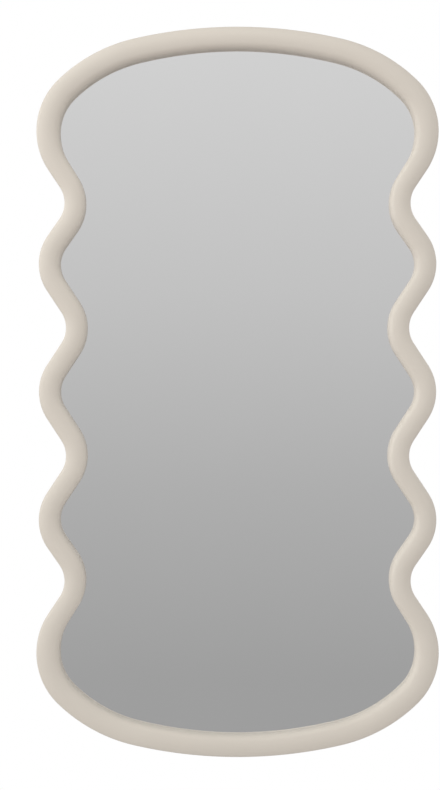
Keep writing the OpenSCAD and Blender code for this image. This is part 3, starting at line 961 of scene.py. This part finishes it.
def strap_path():
    """Middle line of the folded strip as [y towards the wall, z up] points, and its foot's z.

    It runs up the board, round the eye in a half circle, gently back onto itself and down. Points lie closer
    at its foot, where the strap has a round end.
    """
    _, _, kit = sizes()
    eye = eye_offset()
    _, _, drops = hanger_places()
    foot = -(drops[1] + kit.strap_end)
    half = kit.strap_w / 2
    lower_layer, upper_layer = kit.strip_t * 0.5, kit.strip_t * 1.5
    end_a = np.radians(np.linspace(0, 90, END_POINTS))
    rise = np.r_[foot + half * (1 - np.cos(end_a)), np.linspace(foot + half, 0, END_POINTS)[1:]]
    low = np.column_stack([np.full(len(rise), lower_layer), rise])
    round_wire = arc_points((eye, 0), eye - lower_layer, 180, 0, EYE_POINTS)[1:]
    t = np.linspace(0, 1, SLOPE_POINTS)[1:, None]
    start, end = round_wire[-1], np.array([upper_layer, -kit.fold_l])
    slope = start + (end - start) * np.hstack([gentle(t), t])
    fall = np.r_[np.linspace(-kit.fold_l, foot + half, FALL_POINTS)[1:], rise[END_POINTS - 2::-1]]
    down = np.column_stack([np.full(len(fall), upper_layer), fall])
    return np.vstack([low, round_wire, slope, down]), foot


def folded_strap(x, z):
    """The strip carried along its path: across it, a rounded oblong as wide as the strap is there."""
    _, _, kit = sizes()
    path, foot = strap_path()
    step = np.gradient(path, axis=0)
    step /= np.hypot(*step.T)[:, None]
    normal = np.column_stack([-step[:, 1], step[:, 0]])
    half = kit.strap_w / 2
    short = np.clip(foot + half - path[:, 1], 0, half)
    reach = np.maximum(np.sqrt(half**2 - short**2), kit.strip_t * STRIP_TIP)
    unit = rounded([(-1, -1), (1, -1), (1, 1), (-1, 1)], [STRIP_EDGE] * 4) * [1, kit.strip_t / 2]
    across = np.sign(unit[:, 0]) * (reach[:, None] - (1 - np.abs(unit[:, 0])) * kit.strip_t / 2)
    lift = unit[:, 1][None, :]
    y = path[:, 0, None] + normal[:, 0, None] * lift
    up = path[:, 1, None] + normal[:, 1, None] * lift
    return outwards(closed_tube(np.stack([x + across, -BACK_H + y, z + up], -1)))


def hanging_ring(x, z):
    """Round wire carried along a closed D: a bar, two corners, two legs and a half circle.

    It hangs from the bar, leaning towards the wall just enough to clear the strap.
    """
    _, _, kit = sizes()
    r = kit.wire_d / 2
    half = kit.ring_in_w / 2 + r
    bar = half - kit.ring_corner
    bow = arc_points((0, kit.ring_leg), half, 0, 180, BOW_POINTS)
    leg = np.linspace(kit.ring_corner, kit.ring_leg, LEG_POINTS)[:-1]
    right = np.column_stack([np.full(len(leg), half), leg])
    corner = arc_points((bar, kit.ring_corner), kit.ring_corner, -90, 0, CORNER_POINTS)
    base = np.column_stack([np.linspace(-bar, bar, BAR_POINTS), np.zeros(BAR_POINTS)])
    left, left_corner = right[::-1] * [-1, 1], corner[::-1] * [-1, 1]
    path = np.vstack([base[:-1], corner[:-1], right, bow, left, left_corner[:-1]])
    path = path[np.r_[moves_on(path), True]]
    step = np.roll(path, -1, 0) - np.roll(path, 1, 0)
    step /= np.hypot(*step.T)[:, None]
    out = np.column_stack([step[:, 1], -step[:, 0]])
    a = np.linspace(0, 2 * math.pi, WIRE_POINTS, endpoint=False)
    flat = path[:, None, :] + out[:, None, :] * (r * np.cos(a))[None, :, None]
    lift = np.broadcast_to(r * np.sin(a), flat.shape[:2])
    tilt = math.asin((2 * kit.strip_t + r + kit.ring_gap - eye_offset()) / (kit.ring_leg + half))
    down, lean = math.cos(tilt), math.sin(tilt)
    y = -BACK_H + eye_offset() + flat[..., 1] * lean + lift * down
    up = z - flat[..., 1] * down + lift * lean
    return outwards(closed_ring(np.stack([x + flat[..., 0], y, up], -1)))


class MIRROR_OT_hangers(bpy.types.Operator):
    """Fold the hanger straps, bend their rings and set their screws"""

    bl_idname = "mirror.hangers"
    bl_label = "Hangers"

    def execute(self, context):
        """Left and right hangers are alike, and only their rings swing."""
        _, _, kit = sizes()
        right_x, z, drops = hanger_places()
        screw = pan_screw(kit.hanger_screw_d, kit.hanger_screw_l)
        for hand, x in (("left", -right_x), ("right", right_x)):
            screws = []
            for drop, turn in zip(drops, HANGER_TURNS[hand]):
                spot = np.array([x, z - drop, 0, 0])
                screws.append(stand_at(turned(screw, turn), spot, 0, BACK_H - 2 * kit.strip_t))
            for name, part, body, node in (
                ("strap", folded_strap(x, z), "mirror", "hanger_strap"),
                ("ring", hanging_ring(x, z), f"{hand}_ring", "hanger_ring"),
                ("strap_screws", join(screws), "mirror", "hanger_screws"),
            ):
                piece(f"{hand}_{name}", part, finish("zinc"), body, [f"{hand}_{node}"])
        return {"FINISHED"}


class MIRROR_OT_bumpers(bpy.types.Operator):
    """Mould the rubber bumpers that rest on the wall"""

    bl_idname = "mirror.bumpers"
    bl_label = "Bumpers"

    def execute(self, context):
        """Each is a solid of revolution: a flat on the wall and a quarter ellipse from there to the board."""
        _, _, kit = sizes()
        arcs, _ = quarter_arcs()
        flat_r, swell = kit.bumper_flat_d / 2, (kit.bumper_d - kit.bumper_flat_d) / 2
        a = np.radians(np.linspace(0, 90, SWELL_POINTS))
        side = np.column_stack([flat_r + swell * np.sin(a), BACK_H * (1 - np.cos(a))])
        flat = np.linspace(FLAT_START, flat_r, FLAT_POINTS)[:-1]
        profile = np.vstack([np.column_stack([flat, 0 * flat]), side])
        bumper = revolved(profile, BUMPER_POINTS)
        upper = stations(arcs["haunch"], math.pi / 2 + BUMPER_A)[0]
        places = {
            "bumper_top_left": flip_x(upper),
            "bumper_top_right": upper,
            "bumper_bottom_left": flip_z(flip_x(upper)),
            "bumper_bottom_right": flip_z(upper),
        }
        for node, spot in places.items():
            part = stand_at(bumper, spot, kit.bumper_u, 0)
            piece(f"rubber_{node}", part, finish("rubber"), "mirror", [node])
        return {"FINISHED"}


# Studio

# The photograph's frame, and where the mirror stands in it
PHOTO_W, PHOTO_H = 440, 790
MIRROR_TOP_PX, MIRROR_FOOT_PX = 26.8, 756.9
MIRROR_LEFT_PX, MIRROR_RIGHT_PX = 36.4, 438.7
# Width of the camera's sensor in millimetres, and the nearest and farthest that it sees
SENSOR = 36.0
CLIP_START, CLIP_END = 0.05, 50
# The lamps' azimuth and elevation in degrees, azimuth 0 being the front, and their size and distance
LAMPS = {"key": (-60, 45), "side": (-75, 10), "top": (0, 45), "back": (140, 30)}
LAMP_SIZE, LAMP_DISTANCE = 1.6, 3.0
# Rings and sides of the floor, its own glow to the camera, and the shares of its radius where it fades
FLOOR_RINGS, FLOOR_SIDES = 24, 96
FLOOR_GLOW = 0.30
FADE_START, FADE_END = 0.45, 0.98
# The room that the glass shows and the room's soft light, by height from -1, straight down, to 1, straight up
ROOM_LEVELS = {-1: 0.27, -0.2: 0.382, -0.07: 0.468, 0.07: 0.592, 0.25: 0.71, 1: 0.90}
AMBIENT_LEVELS = {-1: 0.03, -0.3: (0.766, 0.709, 0.709), 0: 1.0, 1: 0.24}
# The lobe that stands for the lamps: its middle, the cosine at its edge and its strength
LAMPS_WAY = (-0.71, -0.45, 0.54)
LAMPS_EDGE, LAMPS_SHARE = 0.3, 0.90


def lamp(name, azimuth, elevation, watts):
    """A square soft lamp that faces the mirror's middle from a direction."""
    light = bpy.data.lights.new(name, "AREA")
    light.size = LAMP_SIZE
    light.energy = watts
    a, e = math.radians(azimuth), math.radians(elevation)
    place = Vector((math.sin(a) * math.cos(e), -math.cos(a) * math.cos(e), math.sin(e))) * LAMP_DISTANCE
    obj = new_object(name, light)
    obj.location = place
    obj.rotation_euler = place.to_track_quat("Z", "Y").to_euler()
    return obj


def keep_out_of_glass(lamps):
    """Leaves the pane out of what the lamps light, so that from every side it shows the room and no lamp."""
    spared = bpy.data.collections.new("spared_by_lamps")
    spared.objects.link(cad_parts["mirror_pane"])
    for member in spared.collection_objects:
        member.light_linking.link_state = "EXCLUDE"
    for obj in lamps:
        obj.light_linking.receiver_collection = spared


def by_height(room, height, levels):
    """A colour that follows the height of a direction, from levels given as {height: grey or colour}."""
    ramp = room.new("ShaderNodeValToRGB", {"Fac": room.spread(height, 0, 1, start=-1, end=1)})
    stops = ramp.color_ramp.elements
    while len(stops) < len(levels):
        stops.new(0.5)
    for stop, (place, level) in zip(stops, levels.items()):
        stop.position = (place + 1) / 2
        stop.color = (*level, 1) if isinstance(level, tuple) else (level, level, level, 1)
    return ramp.outputs["Color"]


def studio_world():
    """White behind the mirror, a room of grey walls for it to reflect, and the soft light of that room.

    A ray that has left the lacquer and then the glass meets the soft light, with a wide lobe added where the
    lamps stand, because the lamps themselves don't show in the glass.
    """
    world = bpy.data.worlds.new("studio")
    world.use_nodes = True
    room = Nodes(world.node_tree)
    room.tree.nodes.clear()
    way = room.new("ShaderNodeTexCoord").outputs["Generated"]
    height = room.new("ShaderNodeSeparateXYZ", {"Vector": way}).outputs["Z"]
    rays = room.new("ShaderNodeLightPath").outputs
    ambient = by_height(room, height, AMBIENT_LEVELS)
    middle = Vector(LAMPS_WAY).normalized()
    towards = room.new("ShaderNodeVectorMath", {0: way, 1: middle}, operation="DOT_PRODUCT").outputs["Value"]
    lobe = room.spread(towards, 0, LAMPS_SHARE, start=LAMPS_EDGE, end=1)
    lit = room.new("ShaderNodeVectorMath", {0: ambient, 1: lobe}, operation="ADD").outputs["Vector"]
    off_glass = room.maths("MINIMUM", rays["Is Glossy Ray"], rays["Diffuse Depth"])
    tone = room.blend(rays["Is Glossy Ray"], ambient, by_height(room, height, ROOM_LEVELS))
    tone = room.blend(off_glass, tone, lit)
    tone = room.blend(rays["Is Camera Ray"], tone, (1, 1, 1))
    glow = room.new("ShaderNodeBackground", {"Color": tone}).outputs["Background"]
    room.new("ShaderNodeOutputWorld", {"Surface": glow})
    bpy.context.scene.world = world


def floor_finish(tint, radius):
    """A pale matt floor with a faint glow to the camera, clear towards its rim and from below."""
    look = Finish("floor_finish")
    look.paint(look.blend(look.noise(scale=30, detail=3), shade(tint, 0.99), shade(tint, 1.01)))
    look.set(Roughness=0.9, Specular_IOR_Level=0.1)
    seen = look.new("ShaderNodeLightPath").outputs["Is Camera Ray"]
    glow = look.new("ShaderNodeEmission", {"Strength": look.maths("MULTIPLY", seen, FLOOR_GLOW)})
    pale = look.new("ShaderNodeAddShader", {0: look.shader.outputs["BSDF"], 1: glow.outputs["Emission"]})
    place = look.stretched((1, 1, 0))
    distance = look.new("ShaderNodeVectorMath", {0: place}, operation="LENGTH").outputs["Value"]
    fade = {"start": radius * FADE_START, "end": radius * FADE_END, "interpolation_type": "SMOOTHSTEP"}
    below = look.new("ShaderNodeNewGeometry").outputs["Backfacing"]
    clear = look.maths("MAXIMUM", look.spread(distance, 0, 1, **fade), below)
    air = look.new("ShaderNodeBsdfTransparent").outputs["BSDF"]
    mix = look.new("ShaderNodeMixShader", {0: clear, 1: pale.outputs["Shader"], 2: air})
    look.feed(look.tree.nodes["Material Output"].inputs["Surface"], mix.outputs["Shader"])
    return look.material


def studio_floor(drop, radius, tint):
    """A round floor under the mirror, in rings about its middle, that fades out into the white round it."""
    r = np.linspace(radius / FLOOR_RINGS, radius, FLOOR_RINGS)[:, None]
    a = np.linspace(0, 2 * math.pi, FLOOR_SIDES, endpoint=False)
    level = float(CAD_BOX[0][2]) - drop
    points = np.stack([r * np.cos(a), r * np.sin(a), level + 0 * r * a], -1).reshape(-1, 3)
    vertices = np.vstack([points, [0, 0, level]])
    rings = grid_faces(FLOOR_RINGS, FLOOR_SIDES, wrap_columns=True)[:, ::-1]
    mesh = mesh_of("studio_floor", (vertices, [rings, fan(np.arange(FLOOR_SIDES), len(points))]))
    mesh.materials.append(floor_finish(tint, radius))
    new_object("studio_floor", mesh)


def studio_camera(distance):
    """A camera straight in front of the mirror's middle, shifted to frame what the photograph does."""
    outline, _, _ = sizes()
    metres_per_px = outline.height / (MIRROR_FOOT_PX - MIRROR_TOP_PX)
    data = bpy.data.cameras.new("studio_camera")
    data.sensor_width = SENSOR
    data.lens = SENSOR * distance / (PHOTO_H * metres_per_px)
    data.shift_x = (PHOTO_W / 2 - (MIRROR_LEFT_PX + MIRROR_RIGHT_PX) / 2) / PHOTO_H
    data.shift_y = ((MIRROR_TOP_PX + MIRROR_FOOT_PX) / 2 - PHOTO_H / 2) / PHOTO_H
    data.clip_start, data.clip_end = CLIP_START, CLIP_END
    obj = new_object("studio_camera", data)
    obj.location = (0, -(distance + frame_front()[0, 1]), 0)
    obj.rotation_euler = (math.pi / 2, 0, 0)
    bpy.context.scene.camera = obj


class MIRROR_OT_studio(bpy.types.Operator):
    """Set up the floor, the soft lamps, the world and the camera"""

    bl_idname = "mirror.studio"
    bl_label = "Studio"

    def execute(self, context):
        """The key lamp stands at the upper left, and the lamps light all but the glass."""
        studio = context.scene.mirror_studio
        studio_world()
        studio_floor(studio.floor_drop, studio.floor_r, context.scene.mirror_finishes.floor)
        lamps = [lamp(f"{name}_lamp", *way, getattr(studio, f"{name}_power")) for name, way in LAMPS.items()]
        keep_out_of_glass(lamps)
        studio_camera(studio.camera_distance)
        context.scene.view_settings.view_transform = "Standard"
        return {"FINISHED"}


class MIRROR_PT_panel(bpy.types.Panel):
    """Sizes, finishes and steps of the mirror"""

    bl_idname = "MIRROR_PT_panel"
    bl_label = "Wavy Wall Mirror"
    bl_space_type = "VIEW_3D"
    bl_region_type = "UI"
    bl_category = "Mirror"

    def draw(self, context):
        """Lists each group of settings and then each step."""
        for group in GROUPS:
            box = self.layout.box()
            box.label(text=GROUPS[group].__doc__)
            settings = getattr(context.scene, group)
            for name in GROUPS[group].__annotations__:
                box.prop(settings, name)
        for step in STEPS:
            self.layout.operator(step.bl_idname)


GROUPS = {
    "mirror_outline": OutlineSizes,
    "mirror_section": SectionSizes,
    "mirror_hardware": HardwareSizes,
    "mirror_finishes": FinishColours,
    "mirror_studio": StudioSettings,
}
STEPS = (
    MIRROR_OT_frame,
    MIRROR_OT_glass,
    MIRROR_OT_backing,
    MIRROR_OT_board_screws,
    MIRROR_OT_hangers,
    MIRROR_OT_bumpers,
    MIRROR_OT_studio,
)


def register():
    """Registers the classes and hangs the settings on the scene."""
    for cls in (*GROUPS.values(), *STEPS, MIRROR_PT_panel):
        bpy.utils.register_class(cls)
    for name, group in GROUPS.items():
        setattr(bpy.types.Scene, name, PointerProperty(type=group))


def unregister():
    """Takes the settings and the classes away again."""
    for name in GROUPS:
        delattr(bpy.types.Scene, name)
    for cls in reversed((*GROUPS.values(), *STEPS, MIRROR_PT_panel)):
        bpy.utils.unregister_class(cls)


def main():
    """Builds every piece and the studio."""
    register()
    bpy.ops.mirror.frame()
    bpy.ops.mirror.glass()
    bpy.ops.mirror.backing()
    bpy.ops.mirror.board_screws()
    bpy.ops.mirror.hangers()
    bpy.ops.mirror.bumpers()
    bpy.ops.mirror.studio()


if __name__ == "__main__":
    main()
